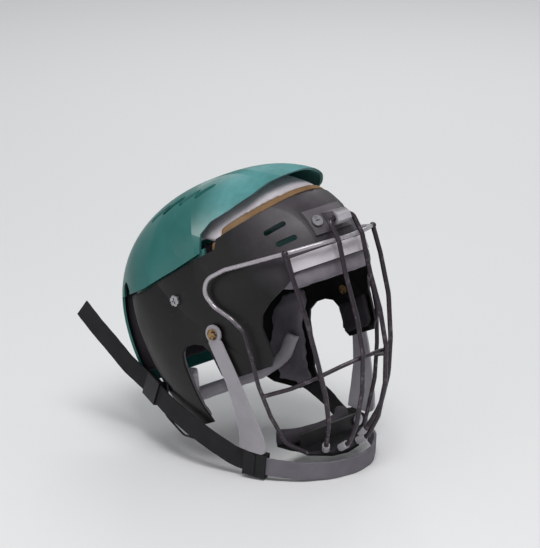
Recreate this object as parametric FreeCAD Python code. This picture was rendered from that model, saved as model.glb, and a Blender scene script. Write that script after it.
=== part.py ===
import FreeCAD, Part
import math
import os
import time
T0 = time.time()
from FreeCAD import Vector

# Hurling helmet with face guard and chin harness, millimetres.
# +X is the wearer's left, the front is -Y and +Z is up. The straps and the guard
# are drawn from the lowest edge of the chin band upward, the shells in the head
# frame, which leans back by rest_tilt. Every piece is then moved so that the
# part's origin is the centre of the head.

doc = FreeCAD.newDocument("hurling_helmet")
sheet = doc.addObject("Spreadsheet::Sheet", "Sizes")
cells = [
    ("rest_tilt", 25.0),
    ("head_centre_back", -21.5),
    ("head_centre_up", 178.0),
    ("front_half_width", 110.5),
    ("front_half_length", 146.0),
    ("front_centre_back", 6.0),
    ("front_crown_height", 122.0),
    ("front_taper", 0.55),
    ("front_wall", 2.7),
    ("slide_clearance", 0.5),
    ("slide_travel", 6.0),
    ("rear_half_width", 112.0),
    ("rear_half_length", 166.0),
    ("rear_centre_back", 8.0),
    ("rear_crown_height", 125.0),
    ("rear_crown_lean", -0.11),
    ("rear_wall", 2.7),
    ("rear_panel_half_width", 63.0),
    ("tongue_half_width", 105.8),
    ("tongue_half_length", 141.5),
    ("tongue_centre_back", 8.0),
    ("vent_width", 8.0),
    ("brow_slot_width", 6.0),
    ("liner_thickness", 9.0),
    ("tan_edge_height", 8.0),
    ("brow_pad_thickness", 14.0),
    ("side_pad_thickness", 9.0),
    ("nape_roll_radius", 9.0),
    ("frame_wire_radius", 2.3),
    ("bar_wire_radius", 2.6),
    ("lift_axis_front", -147.9),
    ("lift_axis_up", 41.4),
    ("clip_width", 21.0),
    ("clip_bore_clearance", 0.4),
    ("screw_head_radius", 6.0),
    ("screw_head_height", 3.0),
    ("screw_shank_radius", 2.5),
    ("strap_width", 17.0),
    ("strap_thickness", 2.6),
    ("strap_standoff", 2.4),
    ("eye_radius", 10.0),
    ("rivet_radius", 4.0),
    ("webbing_width", 22.0),
    ("webbing_thickness", 1.8),
    ("band_height", 19.0),
    ("band_thickness", 2.6),
    ("slider_length", 26.0),
    ("slider_wall", 2.4),
    ("slider_clearance", 0.4),
    ("band_rise", 5.9),
    ("band_front", 163.0),
    ("chin_pad_height", 17.0),
    ("chin_pad_depth", 16.0),
    ("cup_wall", 2.6),
    ("snap_radius", 7.0),
    ("sleeve_wall", 1.5),
    ("buckle_length", 28.0),
    ("keeper_radius", 1.2),
    ("tab_width", 14.0),
    ("tab_thickness", 1.4),
]
for index, (alias, number) in enumerate(cells):
    cell = "B%d" % (index + 1)
    sheet.set("A%d" % (index + 1), alias)
    sheet.set(cell, str(number))
    sheet.setAlias(cell, alias)
doc.recompute()


def size(alias):
    return float(sheet.get(alias))


HEAD = FreeCAD.Placement(
    Vector(0, size("head_centre_back"), size("head_centre_up")),
    FreeCAD.Rotation(Vector(1, 0, 0), -size("rest_tilt")))


ORIGIN = FreeCAD.Placement(Vector(0, -size("head_centre_back"), -size("head_centre_up")), FreeCAD.Rotation())


def to_row(point):
    """A point of the head frame in the frame of the whole part."""
    return HEAD.multVec(Vector(*point))


def to_head(point):
    """A point of the whole part in the head frame."""
    return HEAD.inverse().multVec(Vector(*point))


class Dome:
    """Head-shaped surface: like elliptical rings whose size follows a crown
    curve above the brow and a slow taper below it."""

    def __init__(self, width, length, back, height, power, taper, lean=0.0, depth=200.0):
        self.width = width
        self.length = length
        self.back = back
        self.height = height
        self.power = power
        self.taper = taper
        self.lean = lean
        self.depth = depth

    def inside(self, amount):
        return Dome(self.width - amount, self.length - amount, self.back,
                    self.height - amount, self.power, self.taper, self.lean, self.depth)

    def ring(self, up):
        if up >= self.height:
            return 0.0
        if up > 0:
            return (1 - (up / self.height) ** self.power) ** (1 / self.power)
        return 1 - (1 - self.taper) * (up / self.depth) ** 2

    def half_width(self, y, up):
        ring = self.ring(up)
        along = (y - self.back - self.lean * up) / self.length
        return self.width * math.sqrt(max(ring ** 2 - along ** 2, 0.0))

    def front(self, up):
        return self.back + self.lean * up - self.length * self.ring(up)

    def level(self, x, y, up):
        ring = self.ring(up)
        return math.hypot(x / self.width, (y - self.back - self.lean * up) / self.length) - ring

    def ring_point(self, azimuth, up):
        ring = self.ring(up)
        return Vector(self.width * ring * math.sin(azimuth),
                      self.back + self.lean * up - self.length * ring * math.cos(azimuth), up)

    def ray_point(self, roll, side):
        """Where the ray from the centre leaves the surface: roll turns about
        the X axis from the front over the crown, side leans toward X."""
        aim = Vector(math.sin(side), -math.cos(side) * math.cos(roll),
                     math.cos(side) * math.sin(roll))
        near, far = 0.0, 400.0
        for step in range(48):
            middle = (near + far) / 2
            if self.level(aim.x * middle, self.back + aim.y * middle, aim.z * middle) < 0:
                near = middle
            else:
                far = middle
        return Vector(aim.x * near, self.back + aim.y * near, aim.z * near)

    def ring_patch(self, first, last, low, high, columns, rows=9):
        """Surface between two azimuths (degrees from the front) and two heights."""
        grid = []
        top = self.height * high
        for i in range(columns):
            azimuth = math.radians(first + (last - first) * i / (columns - 1.0))
            column = []
            for j in range(rows):
                share = j / (rows - 1.0)
                if top > 0:
                    turn = math.asin(high)
                    start = -turn * 0.8
                    angle = start + (turn - start) * share
                    up = self.height * math.sin(angle) if angle > 0 else low * angle / start
                else:
                    up = low + (top - low) * share
                column.append(self.ring_point(azimuth, up))
            grid.append(column)
        patch = Part.BSplineSurface()
        patch.interpolate(grid)
        return patch.toShape()

    def crown_patch(self, front, rear, side, columns=21, rows=13):
        """Surface over the crown between two roll angles and two side angles."""
        grid = []
        for i in range(columns):
            roll = math.radians(front + (rear - front) * i / (columns - 1.0))
            column = []
            for j in range(rows):
                lean = math.radians(-side + 2 * side * j / (rows - 1.0))
                column.append(self.ray_point(roll, lean))
            grid.append(column)
        patch = Part.BSplineSurface()
        patch.interpolate(grid)
        return patch.toShape()

    def ring_wall(self, amount, first=-160, last=160, low=-128.0, high=0.93, columns=25, rows=9):
        return walled(self.ring_patch(first, last, low, high, columns, rows),
                      self.inside(amount).ring_patch(first, last, low, high, columns, rows))

    def crown_wall(self, amount, front=10, rear=210, side=72):
        return walled(self.crown_patch(front, rear, side),
                      self.inside(amount).crown_patch(front, rear, side))


def walled(outer, inner):
    """Solid between two four-sided faces."""
    faces = [outer, inner]
    for a, b in zip(outer.Edges, inner.Edges):
        faces.append(Part.makeRuledSurface(a, b))
    solid = Part.makeSolid(Part.makeShell(faces))
    if solid.Volume < 0:
        solid.reverse()
    return solid


def side_prism(points, left, right):
    """Closed outline of (y, z) points drawn on the side view, across X."""
    corners = [Vector(left, y, z) for y, z in points]
    wire = Part.makePolygon(corners + [corners[0]])
    return Part.Face(wire).extrude(Vector(right - left, 0, 0))


def rounded_prism(points, left, right, radius):
    """The same with its upright corners rounded where there is room."""
    corners = [Vector(left, y, z) for y, z in points]
    path = rounded_path(corners + [corners[0]], radius, closed=True)
    return Part.Face(path).extrude(Vector(right - left, 0, 0))


def rounded_path(points, radius, closed=False):
    """Straight runs joined by tangent arcs, each as large as its runs allow."""
    points = [Vector(p) for p in points]
    count = len(points)
    arcs = {}
    inner = range(count - 1) if closed else range(1, count - 1)
    for i in inner:
        before = points[i - 1] if i > 0 else points[count - 2]
        here = points[i]
        after = points[i + 1]
        one = before - here
        two = after - here
        turn = math.pi - one.getAngle(two)
        if turn < 0.01:
            continue
        reach = radius * math.tan(turn / 2)
        reach = min(reach, 0.45 * min(one.Length, two.Length))
        real = reach / math.tan(turn / 2)
        start = here + Vector(one).normalize() * reach
        end = here + Vector(two).normalize() * reach
        middle = Vector(one).normalize() + Vector(two).normalize()
        middle.normalize()
        centre = here + middle * (real / math.cos(turn / 2))
        arcs[i] = (start, centre - middle * real, end)
    edges = []
    last = arcs[0][2] if closed and 0 in arcs else points[0]
    stop = count if not closed else count - 1
    for i in range(1, stop):
        if i in arcs:
            start, mid, end = arcs[i]
            edges.append(Part.makeLine(last, start))
            edges.append(Part.Arc(start, mid, end).toShape())
            last = end
        elif not closed and i == count - 1:
            edges.append(Part.makeLine(last, points[i]))
        elif closed:
            edges.append(Part.makeLine(last, points[i]))
            last = points[i]
    if closed:
        if 0 in arcs:
            start, mid, end = arcs[0]
            edges.append(Part.makeLine(last, start))
            edges.append(Part.Arc(start, mid, end).toShape())
        else:
            edges.append(Part.makeLine(last, points[0]))
    return Part.Wire(edges)


def tube(points, radius, bend):
    """Round wire bent along straight runs and tangent arcs."""
    path = rounded_path(points, bend)
    start = path.Edges[0].valueAt(path.Edges[0].FirstParameter)
    direction = path.Edges[0].tangentAt(path.Edges[0].FirstParameter)
    ring = Part.Wire(Part.makeCircle(radius, start, direction))
    pipe = path.makePipeShell([ring], True, False)
    if pipe.Volume < 0:
        pipe.reverse()
    return pipe


def strip(points, sides, width, thickness, bend):
    """Flat webbing of even width whose face turns toward the given sides."""
    path = rounded_path(points, bend)
    sections = []
    first = path.Edges[0]
    last = path.Edges[-1]
    for edge, parameter, side in ((first, first.FirstParameter, sides[0]),
                                  (last, last.LastParameter, sides[-1])):
        centre = edge.valueAt(parameter)
        along = edge.tangentAt(parameter)
        face = Vector(*side)
        face = face - along * face.dot(along)
        face.normalize()
        across = along.cross(face)
        a = across * (width / 2)
        b = face * (thickness / 2)
        corners = [centre + a + b, centre - a + b, centre - a - b, centre + a - b]
        sections.append(Part.makePolygon(corners + [corners[0]]))
    band = path.makePipeShell([sections[0]], True, False)
    if band.Volume < 0:
        band.reverse()
    return band


def capsule_cut(first, second, normal, width, depth):
    """A slot with round ends from first to second, cut along the normal."""
    first = Vector(*first)
    second = Vector(*second)
    normal = Vector(*normal).normalize()
    along = second - first
    along = along - normal * along.dot(normal)
    along.normalize()
    across = normal.cross(along)
    half = width / 2
    base = -normal * (depth / 2)
    a = first + along * half + across * half + base
    b = second - along * half + across * half + base
    c = second + base
    d = second - along * half - across * half + base
    e = first + along * half - across * half + base
    f = first + base
    flat = second - first
    lift = normal * flat.dot(normal)
    b = b - lift
    c = c - lift
    d = d - lift
    edges = [Part.makeLine(a, b), Part.Arc(b, c, d).toShape(),
             Part.makeLine(d, e), Part.Arc(e, f, a).toShape()]
    return Part.Face(Part.Wire(edges)).extrude(normal * depth)


def mirrored(shape):
    return shape.mirror(Vector(0, 0, 0), Vector(1, 0, 0))


nodes = []


def keep(label, shape, head=False):
    """A sub-part whose shape comes from the functions above."""
    item = doc.addObject("Part::Feature", label)
    item.Label = label
    item.Shape = shape
    if head:
        item.Placement = ORIGIN.multiply(HEAD)
    else:
        item.Placement = ORIGIN.multiply(shape.Placement)
    nodes.append(item)
    print("%-22s %.1f" % (label, time.time() - T0), flush=True)
    return item


# ---- surfaces of the two shells, the adjuster plates and the liner
wall = size("front_wall")
front_out = Dome(size("front_half_width"), size("front_half_length"), size("front_centre_back"),
                 size("front_crown_height"), 2.2, size("front_taper"))
front_in = front_out.inside(wall)
edge = size("rear_wall")
rear_out = Dome(size("rear_half_width"), size("rear_half_length"), size("rear_centre_back"),
                size("rear_crown_height"), 2.3, 0.3, size("rear_crown_lean"))
rear_in = rear_out.inside(edge)
plate_out = Dome(size("tongue_half_width"), size("tongue_half_length"), size("tongue_centre_back"),
                 size("front_crown_height") - wall - size("slide_clearance"), 2.2, 0.55)

# ---- front shell: forehead, side wings, cheek flaps, ear arches and rear legs
wing_top = [(122, 28), (110, 33), (60, 34), (1, 42), (-38, 48.5), (-50, 50)]
forehead_top = [(-52, 60), (-62, 63), (-85, 69), (-103, 74), (-114, 79), (-180, 95)]
front_low = [(-180, 0), (-117, 0), (-106, -10), (-90, -20), (-79, -30), (-74, -42),
             (-73, -76), (-66, -84)]
flap_back = [(-16, -84), (-10, -77), (-9, -50)]
ear_arch = [(-3, -41), (8, -37), (22, -37), (33, -43), (37, -54), (42, -104), (38, -122)]
leg_back = [(62, -122), (88, -106), (106, -86), (121, -57), (125, -26), (126, 4)]
front_outline = wing_top + forehead_top + front_low + flap_back + ear_arch + leg_back
outline = side_prism(front_outline, -130, 130)
front_shell = front_out.ring_wall(wall).common(outline)

screw_y = 11.0
screw_z = 13.0
rivet_y = -25.5
rivet_z = -33.0
sideways = Vector(1, 0, 0)
shank = size("screw_shank_radius") + 0.2
pin = size("rivet_radius") - 1.3
screw_hole = Part.makeCylinder(shank, 260, Vector(-130, screw_y, screw_z), sideways)
rivet_hole = Part.makeCylinder(pin + 0.2, 260, Vector(-130, rivet_y, rivet_z), sideways)
front_shell = front_shell.cut(screw_hole).cut(rivet_hole)
slot_width = size("brow_slot_width")
for start, end in (((-68, -100, 49), (-48, -116, 54)), ((-65, -109, 34), (-46, -123, 36))):
    slot = capsule_cut(start, end, (-0.62, -0.72, 0.28), slot_width, 50)
    front_shell = front_shell.cut(slot).cut(mirrored(slot))
keep("front_shell", front_shell, head=True)

# ---- rear shell: crown and rear panel, whose free edges pass outside the wings
gap = 2.0
panel = size("rear_panel_half_width")
panel_low = -62.0
rear_outline = [(-36, 51.5), (1, 42 + gap), (60, 34 + gap), (110, 33 + gap), (190, 33 + gap),
                (190, 150), (-120, 150), (-118, 104), (-101, 99), (-91, 92), (-70, 84),
                (-50, 79), (-38, 70)]
rear_zone = side_prism(rear_outline, -130, 130)
rear_zone = rear_zone.fuse(Part.makeBox(2 * panel, 120, 45 - panel_low, Vector(-panel, 90, panel_low)))
rear_shell = rear_out.crown_wall(edge).common(rear_zone)
vents = [((-60, 58), (-57, 27)), ((-64, 35), (-54, 5)), ((-64, 8), (-51, -17)),
         ((-62, -15), (-46, -36))]
for first, second in vents:
    vent = capsule_cut((first[0], first[1], 100), (second[0], second[1], 100), (0, 0, 1),
                       size("vent_width"), 80)
    rear_shell = rear_shell.cut(vent).cut(mirrored(vent))
notch = side_prism([(96, 20), (96, 40), (100, 47), (107, 50), (114, 46), (116, 38), (116, 20)], -130, 130)
rear_shell = rear_shell.cut(notch)
keep("rear_shell", rear_shell, head=True)

# ---- adjuster plates of the rear shell, slotted for the size screws
travel = size("slide_travel")
plate_zone = side_prism([(-34, 55), (1, 51), (60, 47.5), (98, 45), (98, 10), (60, -9), (-34, -9)],
                        -130, 0)
plate_slot = Part.makeBox(60, travel, 2 * shank, Vector(-130, screw_y, screw_z - shank))
plate_slot = plate_slot.fuse(Part.makeCylinder(shank, 60, Vector(-130, screw_y, screw_z), sideways))
plate_slot = plate_slot.fuse(Part.makeCylinder(shank, 60, Vector(-130, screw_y + travel, screw_z),
                                               sideways))
plate = plate_out.ring_wall(edge, -150, -30, -60.0, 0.8, 13).common(plate_zone).cut(plate_slot)
keep("adjuster_plate_right", plate, head=True)
keep("adjuster_plate_left", mirrored(plate), head=True)

# ---- crown liner: the foam between the shells, with its tan front edge
liner_wall = size("liner_thickness")
lean = size("rear_crown_lean")
liner_out = Dome(103.0, 148.0, 5.0, 120.5, 1.9, 0.5, lean)
lip = size("tan_edge_height")
edge_line = [(-41, 49.6), (-51, 50.6), (-53, 60.8), (-62, 63.4), (-85, 69.4), (-103, 74.4), (-114, 79.4),
             (-180, 95.4)]
lip_line = [(y, z + lip) for y, z in edge_line]
tan_zone = side_prism(edge_line + lip_line[::-1], -130, 130)
white_zone = side_prism([(14, 64), (1, 64), (-30, 64), (-41, 50 + lip)] + lip_line[1:]
                        + [(-180, 150), (14, 150)], -130, 130)
crown_liner = liner_out.crown_wall(liner_wall).common(white_zone)
for first, second in vents[:2]:
    vent = capsule_cut((first[0], first[1] - 3, 100), (second[0], second[1] + 3, 100), (0, 0, 1),
                       size("vent_width") + 3, 80)
    crown_liner = crown_liner.cut(vent).cut(mirrored(vent))
crown_liner = crown_liner.cut(rear_shell)
keep("crown_liner", crown_liner, head=True)
tan_out = Dome(104.4, 149.4, 5.0, 121.9, 1.9, 0.5, lean)
keep("liner_tan_edge", tan_out.crown_wall(liner_wall + 1.4).common(tan_zone), head=True)

# ---- rear liner, glued inside the rear panel
rear_pad_out = rear_in.inside(0.4)
rear_box = Part.makeBox(2 * (panel - 6), 140, 112, Vector(-(panel - 6), 50, -50))
keep("rear_liner", rear_pad_out.crown_wall(22).common(rear_box), head=True)

# ---- brow pad and the pale band over its front
brow_wall = size("brow_pad_thickness")
brow_zone = side_prism([(-74, 26), (-180, 30), (-180, -17), (-104, -17), (-92, -8), (-74, -2)],
                       -130, 130)
brow = front_in.inside(0.4).ring_wall(brow_wall).common(brow_zone)
keep("brow_pad", brow, head=True)
band_zone = side_prism([(-117, 16), (-180, 18), (-180, 1), (-117, 1)], -130, 130)
brow_band = front_out.inside(-1.3).ring_wall(1.1).common(band_zone)
keep("brow_band", brow_band, head=True)

# ---- pads on the cheek flaps and the rear legs
pad_wall = front_in.inside(0.4).ring_wall(size("side_pad_thickness"))
cheek_zone = side_prism([(-69, -44), (-69, -76), (-62, -80), (-20, -80), (-14, -74), (-14, -46)],
                        -130, 0)
cheek_pad = pad_wall.common(cheek_zone)
keep("cheek_pad_right", cheek_pad, head=True)
keep("cheek_pad_left", mirrored(cheek_pad), head=True)
leg_zone = side_prism([(30, -36), (41, -54), (45, -104), (42, -118), (60, -118), (80, -104),
                       (86, -70), (74, -30), (56, -16), (30, -16)], -130, 0)
leg_pad = pad_wall.common(leg_zone)
keep("leg_pad_right", leg_pad, head=True)
keep("leg_pad_left", mirrored(leg_pad), head=True)
roll = size("nape_roll_radius")
nape_points = [(-84, 50, -62), (-76, 66, -84), (-58, 94, -92), (-32, 116, -92), (0, 124, -92)]
nape_points += [(-x, y, z) for x, y, z in nape_points[-2::-1]]
seat_wall = front_in.inside(0.2).ring_wall(size("side_pad_thickness") + 0.4)
nape = tube(nape_points, roll, 26).cut(seat_wall)
keep("nape_roll", nape, head=True)

# ---- size screws, their nuts and the temple rivets
face = -front_out.half_width(screw_y, screw_z)
inner_face = -plate_out.inside(edge).half_width(screw_y, screw_z)
head_radius = size("screw_head_radius")
head_height = size("screw_head_height")
screw = Part.makeCylinder(head_radius, head_height, Vector(face - 0.4 - head_height, screw_y, screw_z),
                          sideways)
shaft = Part.makeCylinder(size("screw_shank_radius"), 16, Vector(face - 1.0, screw_y, screw_z), sideways)
screw = screw.fuse(shaft)
for k in range(6):
    angle = math.radians(60 * k)
    notch = Part.makeCylinder(1.5, 10, Vector(face - 8, screw_y + 6.6 * math.cos(angle),
                                             screw_z + 6.6 * math.sin(angle)), sideways)
    screw = screw.cut(notch)
drive = Part.makeBox(1.6, 7, 1.6, Vector(face - 0.4 - head_height, screw_y - 3.5, screw_z - 0.8))
cross = Part.makeBox(1.6, 1.6, 7, Vector(face - 0.4 - head_height, screw_y - 0.8, screw_z - 3.5))
screw = screw.cut(drive).cut(cross)
nut = Part.makeCylinder(7.0, 4.0, Vector(inner_face + 1.6, screw_y, screw_z), sideways)
nut = nut.cut(Part.makeCylinder(size("screw_shank_radius") + 0.1, 10,
                                Vector(inner_face - 3, screw_y, screw_z), sideways))
keep("size_screw_right", screw, head=True)
keep("size_screw_left", mirrored(screw), head=True)
keep("size_nut_right", nut, head=True)
keep("size_nut_left", mirrored(nut), head=True)

strap_wall = size("strap_thickness")
temple = -front_out.half_width(rivet_y, rivet_z)
temple_in = temple + wall
stand = size("strap_standoff")
rivet_head = Part.makeCylinder(size("rivet_radius") + 2.0, 1.6,
                               Vector(temple - stand - strap_wall - 0.3 - 1.6, rivet_y, rivet_z), sideways)
rivet_collar = Part.makeCylinder(size("rivet_radius"), stand - 0.9,
                                 Vector(temple - stand + 0.3, rivet_y, rivet_z), sideways)
rivet_pin = Part.makeCylinder(pin, 4 + stand + strap_wall + wall,
                              Vector(temple - stand - strap_wall - 1.0, rivet_y, rivet_z), sideways)
rivet_foot = Part.makeCylinder(size("rivet_radius") + 1.0, 1.4, Vector(temple_in + 1.3, rivet_y, rivet_z),
                               sideways)
rivet = rivet_head.fuse(rivet_pin).fuse(rivet_foot).fuse(rivet_collar)
keep("temple_rivet_right", rivet, head=True)
keep("temple_rivet_left", mirrored(rivet), head=True)

# ---- side straps: a riveted eye, a straight arm and a wide foot
eye_centre = to_row((temple - stand - strap_wall / 2, rivet_y, rivet_z))


def strap_plate():
    """Flat outline of the strap, bent inward from the temple to its foot."""
    outline = [(9, -5), (-2, -26), (-13, -52), (-19, -80), (-20, -104), (-19, -130), (-25, -130),
               (-26, -127.5), (-56, -127.5), (-53, -108), (-45, -84), (-35, -56), (-24, -30), (-9, -2)]
    corners = [Vector(-160, eye_centre.y + y, eye_centre.z + z) for y, z in outline]
    path = rounded_path(corners + [corners[0]], 14, closed=True)
    arm = Part.Face(path).extrude(Vector(120, 0, 0))
    eye = Part.makeCylinder(size("eye_radius"), 120, Vector(-160, eye_centre.y, eye_centre.z), sideways)
    stock = arm.fuse(eye)
    side = eye_centre.x - strap_wall / 2
    bend = [Vector(side, -140, 175), Vector(side, -140, 168), Vector(side, -140, 160), Vector(side, -140, 153),
            Vector(side + 3.6, -140, 120),
            Vector(side + 11.5, -140, 80), Vector(side + 18.5, -140, 48), Vector(side + 21.3, -140, 20)]
    curve = Part.BSplineCurve()
    curve.interpolate(bend)
    near = curve.toShape()
    far = near.copy()
    far.translate(Vector(strap_wall, 0, 0))
    face = Part.Face(Part.Wire([near, Part.makeLine(bend[-1], bend[-1] + Vector(strap_wall, 0, 0)), far,
                                Part.makeLine(bend[0] + Vector(strap_wall, 0, 0), bend[0])]))
    body = face.extrude(Vector(0, 110, 0)).common(stock)
    hole = Part.makeCylinder(pin + 0.15, 40, Vector(eye_centre.x - 20, eye_centre.y, eye_centre.z), sideways)
    return body.cut(hole)



# ---- face guard: frame wire, hairpin, outer bars, crossbar and sleeves
wire = size("frame_wire_radius")
bar = size("bar_wire_radius")
frame_half = [(0, -150, 259), (-34, -145, 258), (-66, -126, 251), (-92, -94, 239), (-106, -70, 230),
              (-114, -52, 218), (-115, -50, 202), (-113, -62, 190), (-110, -84, 180), (-106, -97, 168),
              (-104, -104, 146), (-98, -110, 110), (-86, -117, 74), (-68, -122, 42), (-46, -132, 27),
              (-20, -146, 24), (0, -149, 24)]
half = tube(frame_half, wire, 16)
frame = half.fuse(mirrored(half))
keep("guard_frame", frame)
axis_point = to_row((0, size("lift_axis_front"), size("lift_axis_up")))
hair = [(0, axis_point.y, axis_point.z), (-19, axis_point.y, axis_point.z), (-19, -152, 258),
        (-19, -163, 218), (-19, -177, 180), (-19, -185.5, 142), (-19, -185, 100), (-18, -177, 62),
        (-16, -165, 38), (-14, -149.5, 27.3)]
hair_half = tube(hair, bar, 6)
fat_frame = tube(frame_half, wire + 0.02, 16)
hair_half = hair_half.cut(fat_frame)
keep("guard_hairpin", hair_half.fuse(mirrored(hair_half)))
outer = [(-72, -123.5, 250), (-71, -135, 222), (-67, -150, 180), (-60, -159, 135), (-52, -163, 98),
         (-43, -160, 64), (-34, -149, 38), (-28, -143, 27)]
outer_bar = tube(outer, bar, 60).fuse(Part.makeSphere(3.6, Vector(-72, -123.5, 250)))
outer_bar = outer_bar.cut(fat_frame)
keep("guard_bar_right", outer_bar)
keep("guard_bar_left", mirrored(outer_bar))
cross_points = [(-93, -113, 98), (-78, -138, 108), (-57, -156.2, 119), (-36, -172, 130), (-18, -181.2, 136),
                (0, -183, 137)]
cross_half = tube(cross_points, wire, 30).cut(fat_frame)
bars = tube(hair, bar + 0.02, 6).fuse(tube(outer, bar + 0.02, 60))
cross_half = cross_half.cut(bars)
crossbar = cross_half.fuse(mirrored(cross_half))
keep("guard_crossbar", crossbar)

# ---- forehead clip with the bore that the hairpin turns in
clip_half = size("clip_width") / 2
bore = bar + size("clip_bore_clearance")
ax_y = size("lift_axis_front")
ax_z = size("lift_axis_up")
base_zone = side_prism([(-120, 58), (-170, 58), (-170, 30), (-120, 30)], -29, 29)
clip_base = front_out.inside(-2.7).ring_wall(2.3).common(base_zone)
block = side_prism([(-126, 52), (-149, 49), (ax_y - 5.6, 44), (ax_y - 5.6, 37), (-149, 34), (-126, 34)],
                   -clip_half, clip_half)
block = block.cut(front_out.inside(-0.4).ring_wall(24))
clip = clip_base.fuse(block)
clip = clip.cut(Part.makeCylinder(bore, 80, Vector(-40, ax_y, ax_z), sideways))
keep("forehead_clip", clip, head=True)

# ---- two screws through the clip, with a round washer face
clip_screw = None
for x in (-21, 21):
    face_y = front_out.inside(-2.6).back - front_out.inside(-2.6).length * math.sqrt(
        front_out.inside(-2.6).ring(44) ** 2 - (x / front_out.inside(-2.6).width) ** 2)
    out = Vector(x * 0.37, -30, 9.5).normalize()
    seat = Vector(x, face_y, 44) + out * 0.6
    one = Part.makeCylinder(6.2, 2.2, seat, out)
    one = one.fuse(Part.makeCylinder(2.0, 10.0, seat - out * 9.5, out))
    one = one.cut(Part.makeBox(9, 1.2, 1.2, Vector(-4.5, -0.6, -0.6)).translated(seat + out * 2.2))
    clip_screw = one if clip_screw is None else clip_screw.fuse(one)
clip_bores = None
for x in (-21, 21):
    face_y = front_out.inside(-2.6).back - front_out.inside(-2.6).length * math.sqrt(
        front_out.inside(-2.6).ring(44) ** 2 - (x / front_out.inside(-2.6).width) ** 2)
    out = Vector(x * 0.37, -30, 9.5).normalize()
    seat = Vector(x, face_y, 44)
    bore_one = Part.makeCylinder(2.2, 40, seat - out * 20, out)
    clip_bores = bore_one if clip_bores is None else clip_bores.fuse(bore_one)
for item in nodes:
    if item.Label in ("front_shell", "forehead_clip"):
        shape = item.Shape.copy()
        shape.Placement = FreeCAD.Placement()
        item.Shape = shape.cut(clip_bores)
        item.Placement = ORIGIN.multiply(HEAD)
keep("clip_screws", clip_screw, head=True)

# ---- sleeves on the foot of the bars
sleeve_wall = size("sleeve_wall")
sleeves = None
for points in (hair[-2:], outer[-2:]):
    foot = Vector(*points[1])
    top = Vector(*points[0])
    along = (foot - top)
    length = along.Length
    along.normalize()
    one = Part.makeCylinder(bar + sleeve_wall, length * 0.62, top + along * length * 0.2, along)
    one = one.cut(Part.makeCylinder(bar + 0.05, length * 2, top - along * 5, along))
    pair = [one, mirrored(one)]
    sleeves = pair if sleeves is None else sleeves + pair
keep("guard_sleeves", Part.makeCompound(sleeves))

# ---- chin band: it stands on its front edge and rises toward the ears
band_h = size("band_height")
band_t = size("band_thickness")
front = -size("band_front")
BAND = FreeCAD.Placement(Vector(0, 0, 0), FreeCAD.Rotation(Vector(1, 0, 0), size("band_rise")),
                         Vector(0, front - band_t / 2, 0))
start = Vector(-88, front + 83, 0)
knee = Vector(-80, front + 53, 0)
band_points = [start, knee, Vector(-61, front + 25, 0), Vector(-32, front + 6, 0), Vector(0, front, 0)]


def wall_along(points, thickness, height, bend):
    """Upright strip of even thickness along a path on the ground plan."""
    path = rounded_path(points, bend)
    first = path.Edges[0]
    begin = first.valueAt(first.FirstParameter)
    along = first.tangentAt(first.FirstParameter)
    across = Vector(-along.y, along.x, 0) * (thickness / 2)
    up = Vector(0, 0, height)
    corners = [begin + across, begin - across, begin - across + up, begin + across + up]
    section = Part.makePolygon(corners + [corners[0]])
    band = path.makePipeShell([section], True, False)
    if band.Volume < 0:
        band.reverse()
    return band


band_half = wall_along(band_points, band_t, band_h, 50)
band = band_half.fuse(mirrored(band_half))
band.Placement = BAND
keep("chin_band", band)

# ---- webbing from the side strap's foot past the ear to the nape buckle
web_w = size("webbing_width")
web_t = size("webbing_thickness")
run = (start - knee).normalize()
inward = Vector(run.y, -run.x, 0)
layer = band_t / 2 + web_t / 2 + 0.3
web_start = BAND.multVec(knee + run * 10 + inward * layer + Vector(0, 0, band_h / 2))
web_end = BAND.multVec(start + run * 10 + inward * layer + Vector(0, 0, band_h / 2))
web_points = [web_start, web_end, Vector(-95, -44, 32), Vector(-97, -16, 43.5), Vector(-92, 22, 56),
              Vector(-77, 59, 64)]
out_face = (-inward.x, -inward.y, 0)
webbing = strip(web_points, [out_face, (-1, 0, 0)], web_w, web_t, 60)
keep("webbing_right", webbing)
keep("webbing_left", mirrored(webbing))

# ---- sliders: a sleeve round the band and the webbing
clear = size("slider_clearance")
s_wall = size("slider_wall")
s_len = size("slider_length")
inside_t = band_t + 0.3 + web_t + 2 * clear
inside_h = max(band_h, web_w) + 2 * clear


def sleeve(length, high, thick, wall_size):
    """Rectangular loop along +Y, centred on the origin, edges rounded."""
    body = Part.makeBox(thick + 2 * wall_size, length, high + 2 * wall_size,
                        Vector(-thick / 2 - wall_size, -length / 2, -high / 2 - wall_size))
    body = body.makeFillet(wall_size * 0.6, [e for e in body.Edges if abs(
        e.tangentAt(e.FirstParameter).y) > 0.9])
    hole = Part.makeBox(thick, length + 2, high, Vector(-thick / 2, -length / 2 - 1, -high / 2))
    return body.cut(hole)


middle = knee + run * 18 + inward * (layer / 2 - 0.1) + Vector(0, 0, band_h / 2)
turn = math.degrees(math.atan2(-run.x, run.y))
slider = sleeve(s_len, inside_h, inside_t, s_wall)
rib = Part.makeCylinder(1.6, inside_h, Vector(-inside_t / 2 - s_wall, 0, -inside_h / 2), Vector(0, 0, 1))
slider = slider.fuse(rib)
slider.Placement = BAND.multiply(FreeCAD.Placement(middle, FreeCAD.Rotation(Vector(0, 0, 1), turn)))
keep("strap_slider_right", slider)
keep("strap_slider_left", mirrored(slider))
slider_room = Part.makeBox(inside_t + 2 * s_wall + 0.8, s_len + 8, inside_h + 2 * s_wall + 0.6,
                           Vector(-inside_t / 2 - s_wall - 0.4, -s_len / 2 - 1, -inside_h / 2 - s_wall - 0.3))
slider_room.Placement = slider.Placement
strap = strap_plate().cut(slider_room)
keep("side_strap_right", strap)
keep("side_strap_left", mirrored(strap))

# ---- nape buckles, their anchor tabs and the free tail


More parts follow.
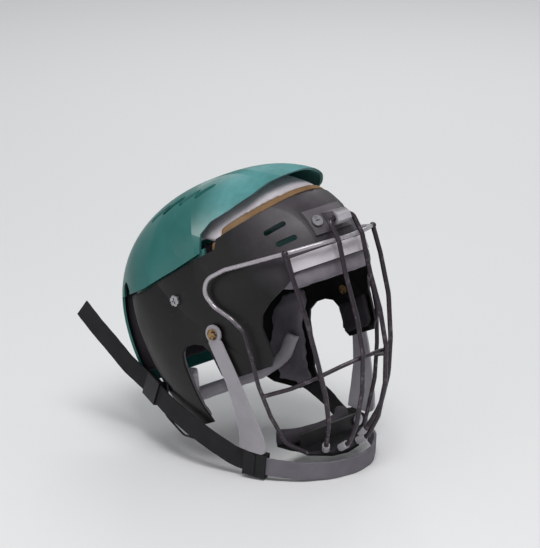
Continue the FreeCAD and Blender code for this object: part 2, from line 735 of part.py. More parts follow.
def end_frame(band, point):
    """Thickness, length and width directions of a strip at one of its ends."""
    cap = min(band.Faces, key=lambda f: f.CenterOfMass.distanceToPoint(point))
    longest = max(cap.Edges, key=lambda e: e.Length)
    across = longest.tangentAt(longest.FirstParameter)
    if across.z < 0:
        across = -across
    along = cap.normalAt(0, 0)
    if along.dot(exit_way) < 0:
        along = -along
    return along.cross(across), along, across


web_last = web_points[-1]
web_before = web_points[-2]
exit_way = Vector(web_last - web_before).normalize()
thick_way, exit_way, wide_way = end_frame(webbing, web_last)
b_len = size("buckle_length")
buckle = sleeve(b_len, web_w + 2 * clear, web_t + 2 * clear + 0.6, 1.8)
bar_mid = Part.makeBox(1.6, 3.0, web_w, Vector(-web_t / 2 - clear - 0.3 - 1.7, -1.5, -web_w / 2))
buckle = buckle.fuse(bar_mid)
buckle.Placement = FreeCAD.Placement(web_last + exit_way * 1.0,
                                     FreeCAD.Rotation(thick_way, exit_way, wide_way, "XYZ"))
keep("nape_buckle_right", buckle)
keep("nape_buckle_left", mirrored(buckle))

tab_t = size("tab_thickness")
tab_run = []
for y, z in ((90.0, -69.0), (106.0, -74.0)):
    x = -front_out.half_width(y, z)
    away = Vector(x / front_out.width ** 2, (y - front_out.back) / front_out.length ** 2, 0).normalize()
    tab_run.append(to_row(Vector(x, y, z) + away * (0.3 + tab_t / 2)))
beside = web_last + thick_way * (web_t / 2 + clear + 0.3 + 1.8 + 0.1 + tab_t / 2)
tab_points = tab_run + [beside + exit_way * 5, beside + exit_way * 15]
first_way = Vector(-0.77, 0.63, 0)
tab = strip(tab_points, [(first_way.x, first_way.y, 0), (-1, 0, 0)], size("tab_width"), tab_t, 12)
placed_shell = front_shell.copy()
placed_shell.Placement = HEAD
tab = tab.cut(placed_shell).cut(buckle)
keep("nape_tab_right", tab)
keep("nape_tab_left", mirrored(tab))

tail_points = [web_last + exit_way * 0.4, web_last + exit_way * 20, Vector(-70, 103, 81),
               Vector(-68, 128, 97), Vector(-67, 152, 112.5), Vector(-66, 176, 130)]
tail = strip(tail_points, [(thick_way.x, thick_way.y, thick_way.z), (-1, 0, 0)], web_w, web_t, 40)
keep("webbing_tail", tail)

# ---- chin cup: a padded roll over a sloping ledge clipped to the frame
pad_h = size("chin_pad_height")
pad_d = size("chin_pad_depth")
cup_t = size("cup_wall")
pad_path = [Vector(-54, -96, 0), Vector(-38, -111, 0), Vector(0, -118, 0), Vector(38, -111, 0),
            Vector(54, -96, 0)]
pad_body = wall_along(pad_path, pad_d, pad_h, 60)
pad_body = pad_body.makeFillet(pad_h * 0.3, [e for e in pad_body.Edges if abs(
    e.tangentAt((e.FirstParameter + e.LastParameter) / 2).z) < 0.1 and e.Length > pad_d + 1])
pad_body.translate(Vector(0, 0, 30))
keep("chin_pad", pad_body)
ledge = side_prism([(-153, 19.4), (-153, 20.5 + cup_t), (-128, 31), (-128, 47), (-128 + cup_t, 47),
                    (-128 + cup_t, 29.6), (-96, 29.6), (-96, 27), (-124, 27)], -54, 54)
plan = [(-52, -96), (-52, -114), (-46, -134), (-22, -148), (0, -151.5), (22, -148), (46, -134),
        (52, -114), (52, -96)]
plan_wire = Part.makePolygon([Vector(x, y, 0) for x, y in plan + [plan[0]]])
ledge = ledge.common(Part.Face(plan_wire).extrude(Vector(0, 0, 80)))
pad_room = wall_along(pad_path, pad_d + 0.4, pad_h + 1, 60)
pad_room.translate(Vector(0, 0, 29.8))
ledge = ledge.cut(pad_room)
guard_room = fat_frame.fuse(mirrored(fat_frame))
ledge = ledge.cut(guard_room).cut(bars).cut(mirrored(bars))
keep("chin_cup", ledge)

snap_seat = Vector(42, -128.0, 40)
stud = Part.makeCylinder(size("snap_radius"), 3.0, snap_seat + Vector(0, -3.3, 0), Vector(0, 1, 0))
stud = stud.makeFillet(1.2, [e for e in stud.Edges if e.BoundBox.YMax < snap_seat.y - 3.2])
keep("chin_snap", stud)

# ---- thin keeper cord under the near webbing
keeper_points = [Vector(-80, 42, 45.5), Vector(-82, 34, 39), Vector(-85, 20, 33), Vector(-91, 2, 28),
                 Vector(-96, -16, 30.5)]
keep("keeper_cord", tube(keeper_points, size("keeper_radius"), 30))

for item in nodes:
    shape = item.Shape
    print(item.Label, shape.isValid(), len(shape.Solids), round(shape.Volume))

os.makedirs("parts", exist_ok=True)
for item in nodes:
    item.Shape.exportStep("parts/%s.step" % item.Label)
print("done %.1f" % (time.time() - T0))
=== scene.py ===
# %% [markdown]
# # A hurling helmet, dressed for a studio picture
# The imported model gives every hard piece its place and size. This lesson gives those pieces their finish, and
# rebuilds the soft ones, foam pads and woven straps, as the things they are.

# %% Load the frame
import math
import bpy
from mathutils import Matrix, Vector


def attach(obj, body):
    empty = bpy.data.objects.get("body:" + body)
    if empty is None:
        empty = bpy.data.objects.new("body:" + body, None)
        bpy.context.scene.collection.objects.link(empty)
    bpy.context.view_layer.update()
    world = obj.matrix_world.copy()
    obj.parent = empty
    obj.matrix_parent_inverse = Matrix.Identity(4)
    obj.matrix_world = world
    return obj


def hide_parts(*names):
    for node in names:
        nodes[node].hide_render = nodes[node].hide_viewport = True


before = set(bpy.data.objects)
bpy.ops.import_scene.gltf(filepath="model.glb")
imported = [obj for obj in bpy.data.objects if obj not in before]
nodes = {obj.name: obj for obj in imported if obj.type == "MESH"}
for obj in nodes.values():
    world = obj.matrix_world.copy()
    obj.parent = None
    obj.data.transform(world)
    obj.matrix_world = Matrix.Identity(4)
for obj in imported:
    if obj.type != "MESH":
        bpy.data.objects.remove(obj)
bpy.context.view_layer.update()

# %% [markdown]
# ## The camera
# The photograph was taken from the wearer's front right, a little above the helmet, through a long lens. A long
# lens far away keeps upright bars upright. The numbers come from lines of known direction in the photograph.

# %% Camera
LENS_PIXELS = 3094.17
FRAME_PIXELS = 548
EYE = Vector((-2.3951, -2.0919, 0.9703))
LOOK = Vector((0.7128, 0.6395, -0.2880)) * LENS_PIXELS + Vector((0.6674, -0.7447, 0.0)) * 53.3

bpy.ops.object.camera_add(location=EYE)
camera = bpy.context.object
camera.rotation_mode = "QUATERNION"
camera.rotation_quaternion = LOOK.to_track_quat("-Z", "Y")
camera.data.lens = 36.0 * LENS_PIXELS / FRAME_PIXELS
camera.data.clip_end = 50.0
bpy.context.scene.camera = camera
print("lens %.1f mm" % camera.data.lens)

# %% [markdown]
# ## The studio
# A wide pale floor takes the shadow and fills the background, since the camera looks down on it everywhere. One
# large soft lamp stands over the helmet's front right, a weaker one fills from the other side.

# %% Floor, lamps and world
FLOOR = -0.178


def plain_shader(name, colour, roughness):
    material = bpy.data.materials.new(name)
    material.use_nodes = True
    shader = material.node_tree.nodes["Principled BSDF"]
    shader.inputs["Base Color"].default_value = (*colour, 1)
    shader.inputs["Roughness"].default_value = roughness
    return material


bpy.ops.mesh.primitive_plane_add(size=30, location=(0, 0, FLOOR))
floor = bpy.context.object
floor.name = "floor"
floor.data.materials.append(plain_shader("floor_paint", (0.80, 0.80, 0.80), 0.9))


def soft_lamp(name, place, target, size, power):
    bpy.ops.object.light_add(type="AREA", location=place)
    lamp = bpy.context.object
    lamp.name = name
    lamp.data.size = size
    lamp.data.energy = power
    lamp.rotation_mode = "QUATERNION"
    lamp.rotation_quaternion = (Vector(target) - Vector(place)).to_track_quat("-Z", "Y")
    return lamp


soft_lamp("key_lamp", (-0.7, -0.9, 2.3), (0, 0, 0), 1.1, 40)
soft_lamp("fill_lamp", (-2.2, 0.2, 0.7), (0, 0, 0), 1.4, 5)
soft_lamp("rim_lamp", (1.8, 1.2, 1.5), (0, 0, 0.05), 1.2, 14)
world = bpy.data.worlds.new("studio")
bpy.context.scene.world = world
world.use_nodes = True
world.node_tree.nodes["Background"].inputs["Color"].default_value = (0.9, 0.92, 0.95, 1)
world.node_tree.nodes["Background"].inputs["Strength"].default_value = 0.42
bpy.context.scene.view_settings.view_transform = "Standard"

# %% [markdown]
# ## Finishes
# Every finish is a few procedural nodes round one Principled shader. The helpers below add the parts that most
# of them share: cloudy noise for colour and gloss, and a fine bump for the grain.

# %% Node helpers


def new_finish(name, roughness, metallic=0.0, specular=0.5):
    """An empty finish: its tree, its shader and the object coordinates."""
    material = bpy.data.materials.new(name)
    material.use_nodes = True
    tree = material.node_tree
    shader = tree.nodes["Principled BSDF"]
    shader.inputs["Roughness"].default_value = roughness
    shader.inputs["Metallic"].default_value = metallic
    shader.inputs["Specular IOR Level"].default_value = specular
    place = tree.nodes.new("ShaderNodeTexCoord")
    return material, tree, shader, place.outputs["Object"]


def clouds(tree, where, scale, detail=3.0, rough=0.55):
    noise = tree.nodes.new("ShaderNodeTexNoise")
    noise.inputs["Scale"].default_value = scale
    noise.inputs["Detail"].default_value = detail
    noise.inputs["Roughness"].default_value = rough
    tree.links.new(where, noise.inputs["Vector"])
    return noise.outputs["Fac"]


def ramp(tree, value, stops):
    """Colours along a value: stops are (position, colour)."""
    node = tree.nodes.new("ShaderNodeValToRGB")
    elements = node.color_ramp.elements
    while len(elements) < len(stops):
        elements.new(0.5)
    for element, (position, colour) in zip(elements, stops):
        element.position = position
        element.color = (*colour, 1) if len(colour) == 3 else colour
    tree.links.new(value, node.inputs["Fac"])
    return node.outputs["Color"]


def spread(tree, value, low, high, start=0.3, end=0.7):
    """A value stretched from start..end to low..high."""
    node = tree.nodes.new("ShaderNodeMapRange")
    node.inputs["From Min"].default_value = start
    node.inputs["From Max"].default_value = end
    node.inputs["To Min"].default_value = low
    node.inputs["To Max"].default_value = high
    tree.links.new(value, node.inputs["Value"])
    return node.outputs["Result"]


def sums(tree, operation, one, two):
    node = tree.nodes.new("ShaderNodeMath")
    node.operation = operation
    for socket, value in zip(node.inputs, (one, two)):
        if isinstance(value, (int, float)):
            socket.default_value = value
        else:
            tree.links.new(value, socket)
    return node.outputs["Value"]


def blend_colours(tree, share, one, two, kind="MIX"):
    node = tree.nodes.new("ShaderNodeMix")
    node.data_type = "RGBA"
    node.blend_type = kind
    for socket, value in ((node.inputs[0], share), (node.inputs[6], one), (node.inputs[7], two)):
        if isinstance(value, (int, float)):
            socket.default_value = value
        elif isinstance(value, tuple):
            socket.default_value = (*value, 1)
        else:
            tree.links.new(value, socket)
    return node.outputs[2]


def along(tree, where, way, start):
    """How far a point lies past a plane: its run along way, less start, in metres."""
    dot = tree.nodes.new("ShaderNodeVectorMath")
    dot.operation = "DOT_PRODUCT"
    tree.links.new(where, dot.inputs[0])
    dot.inputs[1].default_value = Vector(way).normalized()
    return sums(tree, "SUBTRACT", dot.outputs["Value"], start)


def beyond(tree, where, way, start, slope):
    """A flank that rises past a plane, zero before it."""
    return sums(tree, "MULTIPLY", sums(tree, "MAXIMUM", along(tree, where, way, start), 0.0), slope)


def raise_grain(tree, shader, height, depth, strength=0.5):
    """Bumps the shader by a height field; depth is in metres."""
    bump = tree.nodes.new("ShaderNodeBump")
    bump.inputs["Distance"].default_value = depth
    bump.inputs["Strength"].default_value = strength
    tree.links.new(height, bump.inputs["Height"])
    tree.links.new(bump.outputs["Normal"], shader.inputs["Normal"])


# %% [markdown]
# ### Moulded plastic
# The two shells are satin plastic. Their colour drifts a little, their gloss is uneven where hands and turf have
# rubbed them, and the mould leaves a very fine peel that only shows in the highlights.

# %% Shell plastics


def shell_plastic(name, dark, light, gloss, worn, flanks=(), level=0.5, painted_highlight=None):
    """flanks are (way, start, slope), moulded faces that break the shell's round form; the last argument, (way,
    low, high, colour), is a painted highlight: the stretch of the shell past a plane, towards the light, blended
    paler."""
    material, tree, shader, where = new_finish(name, 0.4, specular=level)
    drift = clouds(tree, where, 14, 4)
    colour = ramp(tree, drift, [(0.32, dark), (0.68, light)])
    scuffs = clouds(tree, where, 70, 6, 0.7)
    rubbed = ramp(tree, scuffs, [(0.60, (0, 0, 0)), (0.72, (1, 1, 1))])
    share = sums(tree, "MULTIPLY", rubbed, 0.22)
    tree.links.new(blend_colours(tree, share, colour, worn), shader.inputs["Base Color"])
    tree.links.new(spread(tree, clouds(tree, where, 26, 5), gloss[0], gloss[1]), shader.inputs["Roughness"])
    grain = sums(tree, "MULTIPLY", clouds(tree, where, 900, 2), 0.00002)
    for way, start, slope in flanks:
        grain = sums(tree, "ADD", grain, beyond(tree, where, way, start, slope))
    # painted highlight: past a plane towards the light, the colour is blended paler in cloudy patches
    if painted_highlight:
        share = spread(tree, along(tree, where, painted_highlight[0], 0), 0, 1, painted_highlight[1], painted_highlight[2])
        share = sums(tree, "MULTIPLY", share, spread(tree, clouds(tree, where, 32, 5, 0.65), 0.35, 1))
        base = shader.inputs["Base Color"].links[0].from_socket
        tree.links.new(blend_colours(tree, share, base, painted_highlight[3]), shader.inputs["Base Color"])
    raise_grain(tree, shader, grain, 1.0, 1.0)
    return material


TEAL_FLANKS = [
    ((-0.35, -0.85, 0.40), -0.008, -0.34), ((0.35, -0.85, 0.40), -0.008, -0.34),
    ((-0.80, 0.30, 0.52), 0.090, 0.45), ((0.80, 0.30, 0.52), 0.090, 0.45),
    ((-0.45, 0.0, 0.89), 0.112, -0.40), ((0.45, 0.0, 0.89), 0.112, -0.40),
    ((0.0, 0.423, -0.906), -0.040, 0.30)]
CHARCOAL_FLANKS = [
    ((0.0, 0.45, -0.89), 0.006, 0.28),
    ((-0.82, -0.45, 0.36), 0.103, -0.30), ((0.82, -0.45, 0.36), 0.103, -0.30)]
# teal: its upper front stretch is painted paler, a painted highlight from the lamp above
teal = shell_plastic("teal_shell", (0.012, 0.115, 0.104), (0.020, 0.150, 0.138), (0.30, 0.44),
                     (0.08, 0.24, 0.23), TEAL_FLANKS, 0.5, ((-0.35, -0.45, 0.82), 0.100, 0.122, (0.10, 0.33, 0.34)))
# charcoal: a purple-grey painted sheen on the forehead, where the light reflects
charcoal = shell_plastic("charcoal_shell", (0.0035, 0.0030, 0.0036), (0.008, 0.007, 0.008), (0.36, 0.52),
                         (0.055, 0.045, 0.055), CHARCOAL_FLANKS, 0.35,
                         ((-0.25, -0.67, 0.70), 0.098, 0.128, (0.062, 0.052, 0.062)))
black_plastic = shell_plastic("black_buckle", (0.006, 0.006, 0.007), (0.012, 0.012, 0.013), (0.36, 0.54),
                              (0.04, 0.04, 0.045), (), 0.3)
strap_plastic = shell_plastic("grey_strap", (0.30, 0.28, 0.31), (0.42, 0.40, 0.43), (0.42, 0.58),
                              (0.55, 0.52, 0.56))
# grey clip: its front edge is painted pale, a painted highlight
clip_plastic = shell_plastic("grey_clip", (0.055, 0.048, 0.055), (0.13, 0.115, 0.13), (0.35, 0.55),
                             (0.3, 0.28, 0.3), (), 0.5, ((0.0, -0.97, 0.25), 0.138, 0.144, (0.52, 0.49, 0.53)))
label_plastic = shell_plastic("pale_band", (0.50, 0.46, 0.50), (0.62, 0.58, 0.62), (0.45, 0.60),
                              (0.70, 0.68, 0.72))
sleeve_rubber = shell_plastic("grey_sleeve", (0.33, 0.31, 0.34), (0.44, 0.42, 0.45), (0.60, 0.75),
                              (0.5, 0.48, 0.52))

# %% [markdown]
# ### Foam
# The pads are closed-cell foam with a smooth skin: pale lilac grey, matt, finely pitted. Where the foam is cut
# its tan core shows, with larger cells and no skin.

# %% Foams


def foam(name, dark, light, cell, depth, roughness=0.85, shade=None):
    """shade is a painted shade: a dark colour that takes over behind the front edge of the shell, where the foam
    lies in the shell's shade.
    """
    material, tree, shader, where = new_finish(name, roughness, specular=0.25)
    drift = clouds(tree, where, 22, 4, 0.6)
    colour = ramp(tree, drift, [(0.30, dark), (0.70, light)])
    # painted shade: behind the shell's front edge, the foam's colour is blended to the dark shade colour
    if shade:
        painted_shade_share = spread(tree, along(tree, where, (0, 0.80, 0.60), 0), 0, 1, 0.072, 0.084)
        colour = blend_colours(tree, painted_shade_share, colour, shade)
    tree.links.new(colour, shader.inputs["Base Color"])
    cells = tree.nodes.new("ShaderNodeTexVoronoi")
    cells.inputs["Scale"].default_value = cell
    tree.links.new(where, cells.inputs["Vector"])
    raise_grain(tree, shader, cells.outputs["Distance"], depth, 0.6)
    return material


# crown foam: pale, with a near-black painted shade under the shell
crown_foam = foam("crown_foam", (0.42, 0.38, 0.42), (0.66, 0.63, 0.66), 1400, 0.00012,
                  shade=(0.012, 0.011, 0.013))
pale_foam = foam("pale_foam", (0.40, 0.36, 0.41), (0.60, 0.57, 0.62), 1400, 0.00012)
tan_foam = foam("tan_foam", (0.17, 0.095, 0.045), (0.29, 0.18, 0.095), 700, 0.0004)
grey_foam = foam("grey_foam", (0.13, 0.115, 0.135), (0.24, 0.215, 0.25), 1400, 0.00012)
# painted shade: pale foam deep inside the helmet, given a near-black colour for the shade it lies in (rear liner,
# cheek pads)
shade_foam = foam("shade_foam", (0.016, 0.013, 0.017), (0.040, 0.033, 0.041), 1400, 0.00012)
dark_foam = foam("dark_foam", (0.030, 0.025, 0.032), (0.062, 0.054, 0.064), 1400, 0.00015)

# %% [markdown]
# ### Metal
# The guard is steel wire dipped in a dark coat; its frame is painted paler along its upper stretches, a painted
# reflection of the light from above. The screws are bare steel and the temple rivets dull brass with dark spots.

# %% Metals


def metal(name, base, spots, gloss, level=1.0, spot_share=(0.55, 0.70), scale=120, pale=None):
    """pale is (colour, low, high): a painted reflection, the coat blended to a pale colour between two heights,
    where its upper stretches catch the light.
    """
    material, tree, shader, where = new_finish(name, 0.3, metallic=level)
    marks = clouds(tree, where, scale, 5, 0.65)
    colour = ramp(tree, marks, [(spot_share[0], base), (spot_share[1], spots)])
    # painted reflection: the coat is blended paler with height, as if lit from above
    if pale:
        up = sums(tree, "ADD", along(tree, where, (0, 0, 1), 0), sums(tree, "MULTIPLY", marks, 0.012))
        colour = blend_colours(tree, spread(tree, up, 0, 1, pale[1], pale[2]), colour, pale[0])
    tree.links.new(colour, shader.inputs["Base Color"])
    tree.links.new(spread(tree, clouds(tree, where, 60, 4), gloss[0], gloss[1]), shader.inputs["Roughness"])
    raise_grain(tree, shader, clouds(tree, where, 1500, 3), 0.00004, 0.3)
    return material


wire_coat = metal("dark_wire", (0.045, 0.035, 0.044), (0.15, 0.13, 0.15), (0.22, 0.40), 0.5)
# guard frame: a painted reflection, paler along its upper stretches
frame_coat = metal("wire_painted_reflection", (0.045, 0.035, 0.044), (0.16, 0.14, 0.16), (0.22, 0.40), 0.5,
                   pale=((0.42, 0.39, 0.42), -0.004, 0.030))
bare_steel = metal("bare_steel", (0.42, 0.41, 0.43), (0.20, 0.19, 0.20), (0.28, 0.45))
dull_brass = metal("dull_brass", (0.36, 0.22, 0.10), (0.03, 0.02, 0.015), (0.35, 0.6), 0.8, (0.50, 0.58), 260)

# %% [markdown]
# ### Woven straps
# A plain weave is two crossed waves over the strap's own UVs, in metres, so every strap has threads of one size.

# %% Weaves


def weave(name, dark, light, pitch, coordinates="UV"):
    material, tree, shader, where = new_finish(name, 0.8, specular=0.3)
    place = tree.nodes.new("ShaderNodeTexCoord")
    heights = []
    for direction in ("X", "Y"):
        wave = tree.nodes.new("ShaderNodeTexWave")
        wave.bands_direction = direction
        wave.inputs["Scale"].default_value = 1 / pitch * 0.314
        wave.inputs["Distortion"].default_value = 0.6
        wave.inputs["Detail Scale"].default_value = 2.0
        tree.links.new(place.outputs[coordinates], wave.inputs["Vector"])
        heights.append(wave.outputs["Fac"])
    both = sums(tree, "MULTIPLY", heights[0], heights[1])
    drift = clouds(tree, where, 40, 4)
    shade = sums(tree, "ADD", sums(tree, "MULTIPLY", both, 0.6), sums(tree, "MULTIPLY", drift, 0.4))
    tree.links.new(ramp(tree, shade, [(0.15, dark), (0.7, light)]), shader.inputs["Base Color"])
    raise_grain(tree, shader, both, 0.0004, 0.8)
    return material


black_weave = weave("black_weave", (0.008, 0.008, 0.009), (0.030, 0.028, 0.032), 0.0013)
black_weave_plain = weave("black_weave_tab", (0.008, 0.008, 0.009), (0.030, 0.028, 0.032), 0.0013, "Object")
band_weave = weave("grey_weave", (0.12, 0.11, 0.13), (0.26, 0.24, 0.27), 0.0011)

# %% [markdown]
# ## Soft pieces
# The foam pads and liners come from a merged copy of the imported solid. A voxel remesh rounds every moulded edge.
# The pads are then blown up a little by a cloth simulation, capped because they lie close to the shell, and one
# subdivision smooths them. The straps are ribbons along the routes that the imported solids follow.

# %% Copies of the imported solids


def select_only(thing):
    bpy.ops.object.select_all(action="DESELECT")
    thing.select_set(True)
    bpy.context.view_layer.objects.active = thing


def apply_all(thing):
    select_only(thing)
    for modifier in list(thing.modifiers):
        bpy.ops.object.modifier_apply(modifier=modifier.name)


def merged_copy(node, name):
    """A free copy of a node, with the doubled corners of its facets joined."""
    copy = nodes[node].copy()
    copy.data = nodes[node].data.copy()
    copy.name = name
    copy.parent = None
    bpy.context.scene.collection.objects.link(copy)
    copy.hide_render = False
    select_only(copy)
    bpy.ops.object.mode_set(mode="EDIT")
    bpy.ops.mesh.select_all(action="SELECT")
    bpy.ops.mesh.remove_doubles(threshold=0.00002)
    bpy.ops.mesh.normals_make_consistent(inside=False)
    bpy.ops.object.mode_set(mode="OBJECT")
    return copy


def finish_piece(piece, finish, slot_name, body, *stands_for):
    piece.data.materials.clear()
    piece.data.materials.append(finish)
    for polygon in piece.data.polygons:
        polygon.material_index = 0
        polygon.use_smooth = True
    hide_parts(*stands_for)
    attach(piece, body)
    return piece


def shrink(piece, amount):
    select_only(piece)
    bpy.ops.object.mode_set(mode="EDIT")
    bpy.ops.mesh.select_all(action="SELECT")
    bpy.ops.transform.shrink_fatten(value=-amount)
    bpy.ops.object.mode_set(mode="OBJECT")


def remeshed(node, name, voxel, smoothing):
    piece = merged_copy(node, name)
    remesh = piece.modifiers.new("even", "REMESH")
    remesh.mode = "VOXEL"
    remesh.voxel_size = voxel
    soften = piece.modifiers.new("soften", "SMOOTH")
    soften.factor = 0.5
    soften.iterations = smoothing
    apply_all(piece)
    return piece


def plump(piece, pressure, cap, frames=20):
    """Blows a pad up with cloth pressure; no point moves further than cap."""
    select_only(piece)
    bpy.ops.object.modifier_add(type="CLOTH")
    cloth = piece.modifiers[-1]
    cloth.settings.use_pressure = True
    cloth.settings.uniform_pressure_force = pressure
    cloth.settings.effector_weights.gravity = 0
    cloth.settings.quality = 4
    cloth.point_cache.frame_end = frames
    scene = bpy.context.scene
    for number in range(1, frames + 1):
        scene.frame_set(number)
    posed = piece.evaluated_get(bpy.context.evaluated_depsgraph_get())
    moved = [vertex.co.copy() for vertex in posed.data.vertices]
    bpy.ops.object.modifier_remove(modifier=cloth.name)
    largest = max((place - vertex.co).length for vertex, place in zip(piece.data.vertices, moved))
    print("%s swelled by up to %.2f mm, kept to %.1f" % (piece.name, largest * 1000, cap * 1000))
    for vertex, place in zip(piece.data.vertices, moved):
        step = place - vertex.co
        if step.length > cap:
            step *= cap / step.length
        vertex.co += step
    scene.frame_set(1)


def subdivide(piece):
    piece.modifiers.new("round", "SUBSURF").levels = 1
    apply_all(piece)


def mirror_piece(piece, name):
    """The other side's copy, mirrored in its mesh so that the object stays unscaled."""
    select_only(piece)
    bpy.ops.object.duplicate()
    other = bpy.context.object
    other.name = name
    bpy.ops.object.mode_set(mode="EDIT")
    bpy.ops.mesh.select_all(action="SELECT")
    bpy.ops.transform.mirror(orient_type="GLOBAL", constraint_axis=(True, False, False),
                             center_override=(0, 0, 0))
    bpy.ops.mesh.flip_normals()
    bpy.ops.object.mode_set(mode="OBJECT")
    return other


# %% Moulded liners
for node, name, finish, slot_name, body, voxel in (
        ("crown_liner", "crown_liner_foam", crown_foam, "foam_light", "front", 0.003),
        ("rear_liner", "rear_liner_foam", shade_foam, "foam_light", "rear", 0.003),
        ("liner_tan_edge", "tan_edge_foam", tan_foam, "foam_tan", "front", 0.0018)):
    liner = remeshed(node, name, voxel, 2)
    finish_piece(liner, finish, slot_name, body, node)
    print(name, len(liner.data.polygons))

# %% Pads
PAD_TIGHTEN = 0.0006
PAD_PRESSURE = 4.0
PAD_CAP = 0.0015


def sewn_pad(node, name, voxel):
    """A pad drawn in a little, then blown up and smoothed."""
    pad = remeshed(node, name, voxel, 2)
    shrink(pad, PAD_TIGHTEN)
    plump(pad, PAD_PRESSURE, PAD_CAP)
    subdivide(pad)
    return pad


for node, name, finish, slot_name, body, voxel, fill in (
        ("brow_pad", "brow_roll_foam", grey_foam, "foam_light", "front", 0.004, 0.85),
        ("nape_roll", "nape_roll_foam", pale_foam, "foam_light", "front", 0.004, 0.85),
        ("chin_pad", "chin_roll_foam", dark_foam, "chin_foam", "guard", 0.003, 0.8)):
    pad = sewn_pad(node, name, voxel)
    finish_piece(pad, finish, slot_name, body, node)
    print(name, len(pad.data.polygons))
for node, name, finish, voxel, fill in (
        ("cheek_pad", "cheek_foam", shade_foam, 0.004, 0.8),
        ("leg_pad", "leg_foam", grey_foam, 0.004, 0.8)):
    pad = sewn_pad(node + "_right", name + "_right", voxel)
    other = mirror_piece(pad, name + "_left")
    for piece, side in ((pad, "_right"), (other, "_left")):
        finish_piece(piece, finish, "foam_light", "front", node + side)
    print(name, len(pad.data.polygons))

# %% [markdown]
# ### Straps
# Each strap is a grid bent along its route, given its thickness and round selvedges. The weave follows the
# grid's own UVs, which are its length and width in metres.

# %% Ribbons


def rounded_route(points, bend, step=0.0025):
    """The route with every corner rounded, as evenly spaced points."""
    points = [Vector(point) for point in points]
    fine = [points[0]]
    for before, here, after in zip(points, points[1:], points[2:]):
        one = before - here
        two = after - here
        turn = math.pi - one.angle(two)
        if turn < 0.01:
            continue
        reach = min(bend * math.tan(turn / 2), 0.45 * min(one.length, two.length))
        start = here + one.normalized() * reach
        end = here + two.normalized() * reach
        real = reach / math.tan(turn / 2)
        centre = here + (one.normalized() + two.normalized()).normalized() * (real / math.cos(turn / 2))
        for part in range(9):
            arm = (start - centre).normalized().slerp((end - centre).normalized(), part / 8)
            fine.append(centre + arm.normalized() * real)
    fine.append(points[-1])
    even = [fine[0]]
    carry = 0.0
    for first, second in zip(fine, fine[1:]):
        gap = (second - first).length
        travelled = step - carry
        while travelled <= gap:
            even.append(first.lerp(second, travelled / gap))
            travelled += step
        carry = (carry + gap) % step if gap else carry
    even.append(fine[-1])
    return even


def ribbon(name, points, bend, face, width, thickness):
    """A flat strap along a route; face is the side it shows at its start."""
    path = rounded_route(points, bend)
    count = len(path) - 1
    ways = []
    for i in range(count + 1):
        ways.append((path[min(i + 1, count)] - path[max(i - 1, 0)]).normalized())
    normal = Vector(face)
    normal = (normal - ways[0] * normal.dot(ways[0])).normalized()
    normals = [normal]
    for before, after in zip(ways, ways[1:]):
        normal = before.rotation_difference(after) @ normal
        normal = (normal - after * normal.dot(after)).normalized()
        normals.append(normal)
    bpy.ops.mesh.primitive_grid_add(x_subdivisions=count, y_subdivisions=8, size=1)
    strap = bpy.context.object
    strap.name = name
    mesh = strap.data
    spots = []
    for vertex in mesh.vertices:
        i = round((vertex.co.x + 0.5) * count)
        across = vertex.co.y
        spots.append((i, across))
        side = ways[i].cross(normals[i])
        lift = 0.00012 * math.sin(i * 0.9 + across * 2)
        vertex.co = path[i] + side * (across * width) + normals[i] * lift
    layer = mesh.uv_layers.active or mesh.uv_layers.new(name="weave")
    run = 0.0
    lengths = [0.0]
    for first, second in zip(path, path[1:]):
        run += (second - first).length
        lengths.append(run)
    for loop in mesh.loops:
        i, across = spots[loop.vertex_index]
        layer.data[loop.index].uv = (lengths[i], across * width)
    body = strap.modifiers.new("thick", "SOLIDIFY")
    body.thickness = thickness
    body.offset = 0
    edge = strap.modifiers.new("selvedge", "BEVEL")
    edge.width = thickness * 0.3
    edge.segments = 2
    edge.angle_limit = math.radians(50)
    apply_all(strap)
    return strap


BAND_WIDTH = 0.019
BAND_THICKNESS = 0.0026
BAND_BEND = 0.05
WEB_WIDTH = 0.022
WEB_THICKNESS = 0.0018
WEB_BEND = 0.06
TAIL_BEND = 0.04
BAND_ROUTE = [
    (-0.088, -0.05992, -0.15988), (-0.08, -0.08976, -0.16297), (-0.061, -0.11762, -0.16585),
    (-0.032, -0.13652, -0.1678), (0, -0.14248, -0.16842)]
WEB_ROUTE = [
    (-0.08016, -0.07951, -0.16191), (-0.08816, -0.04967, -0.15883), (-0.095, -0.0225, -0.146),
    (-0.097, 0.0055, -0.1345), (-0.092, 0.0435, -0.122), (-0.077, 0.0805, -0.114)]
TAIL_ROUTE = [
    (-0.07685, 0.08086, -0.11392), (-0.06963, 0.09867, -0.11007), (-0.07, 0.1245, -0.097),
    (-0.068, 0.1495, -0.081), (-0.067, 0.1735, -0.0655), (-0.066, 0.1975, -0.048)]
band_route = BAND_ROUTE + [(-x, y, z) for x, y, z in reversed(BAND_ROUTE[:-1])]
band = ribbon("chin_band_strap", band_route, BAND_BEND, (-0.9662, -0.2577, 0), BAND_WIDTH, BAND_THICKNESS)
finish_piece(band, band_weave, "band_grey", "front", "chin_band")
web = ribbon("webbing_strap_right", WEB_ROUTE, WEB_BEND, (-0.9662, -0.2577, 0), WEB_WIDTH, WEB_THICKNESS)
web_left = mirror_piece(web, "webbing_strap_left")
finish_piece(web, black_weave, "webbing_black", "front", "webbing_right")
finish_piece(web_left, black_weave, "webbing_black", "front", "webbing_left")
tail = ribbon("webbing_tail_strap", TAIL_ROUTE, TAIL_BEND, (-0.9219, 0.3298, 0.2032), WEB_WIDTH, WEB_THICKNESS)
finish_piece(tail, black_weave, "webbing_black", "front", "webbing_tail")
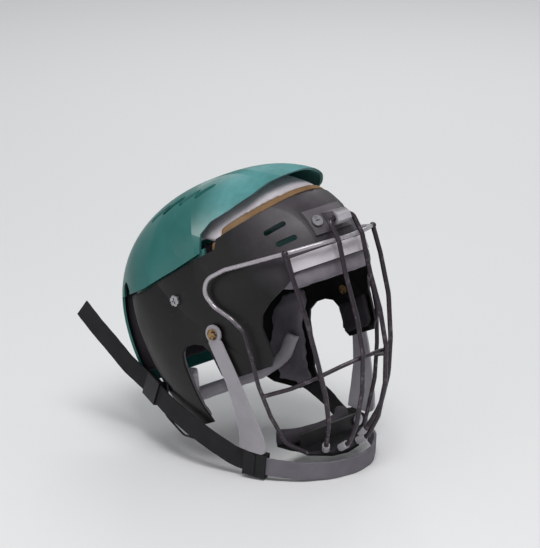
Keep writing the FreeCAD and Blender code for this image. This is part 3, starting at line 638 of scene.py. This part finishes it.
for side in ("right", "left"):
    tab = merged_copy("nape_tab_" + side, "anchor_tab_" + side)
    edge = tab.modifiers.new("selvedge", "BEVEL")
    edge.width = 0.0003
    edge.segments = 2
    apply_all(tab)
    finish_piece(tab, black_weave_plain, "webbing_black", "front", "nape_tab_" + side)

# %% Keeper cord
CORD_DIAMETER = 0.0024
cord_points = [
    (-0.08, 0.0635, -0.1325), (-0.081, 0.0595, -0.13575), (-0.082, 0.0555, -0.139),
    (-0.0835, 0.0485, -0.142), (-0.085, 0.0415, -0.145), (-0.088, 0.0325, -0.1475),
    (-0.091, 0.0235, -0.15), (-0.0935, 0.0145, -0.14875), (-0.096, 0.0055, -0.1475)]
bpy.ops.curve.primitive_nurbs_path_add()
cord = bpy.context.object
cord.name = "keeper_cord_line"
spline = cord.data.splines[0]
spline.points.add(len(cord_points) - len(spline.points))
for point, place in zip(spline.points, cord_points):
    point.co = (*place, 1)
spline.order_u = 3
spline.use_endpoint_u = True
cord.data.bevel_depth = CORD_DIAMETER / 2
cord.data.bevel_resolution = 3
cord.data.materials.append(black_plastic)
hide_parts("keeper_cord")
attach(cord, "front")

# %% Give the hard pieces their finish
finishes = {
    "rear_shell": teal, "adjuster_plate_right": teal, "adjuster_plate_left": teal,
    "front_shell": charcoal, "forehead_clip": clip_plastic, "brow_band": label_plastic,
    "guard_frame": frame_coat, "guard_hairpin": wire_coat, "guard_bar_right": wire_coat,
    "guard_bar_left": wire_coat, "guard_crossbar": wire_coat, "guard_sleeves": sleeve_rubber,
    "side_strap_right": strap_plastic, "side_strap_left": strap_plastic,
    "strap_slider_right": black_plastic, "strap_slider_left": black_plastic,
    "nape_buckle_right": black_plastic, "nape_buckle_left": black_plastic,
    "chin_cup": black_plastic, "clip_screws": bare_steel, "chin_snap": bare_steel,
    "size_screw_right": bare_steel, "size_screw_left": bare_steel, "size_nut_right": bare_steel,
    "size_nut_left": bare_steel, "temple_rivet_right": dull_brass, "temple_rivet_left": dull_brass,
}
for node, finish in finishes.items():
    if node in nodes:
        nodes[node].data.materials.clear()
        nodes[node].data.materials.append(finish)
print("finished", len(finishes), "nodes")
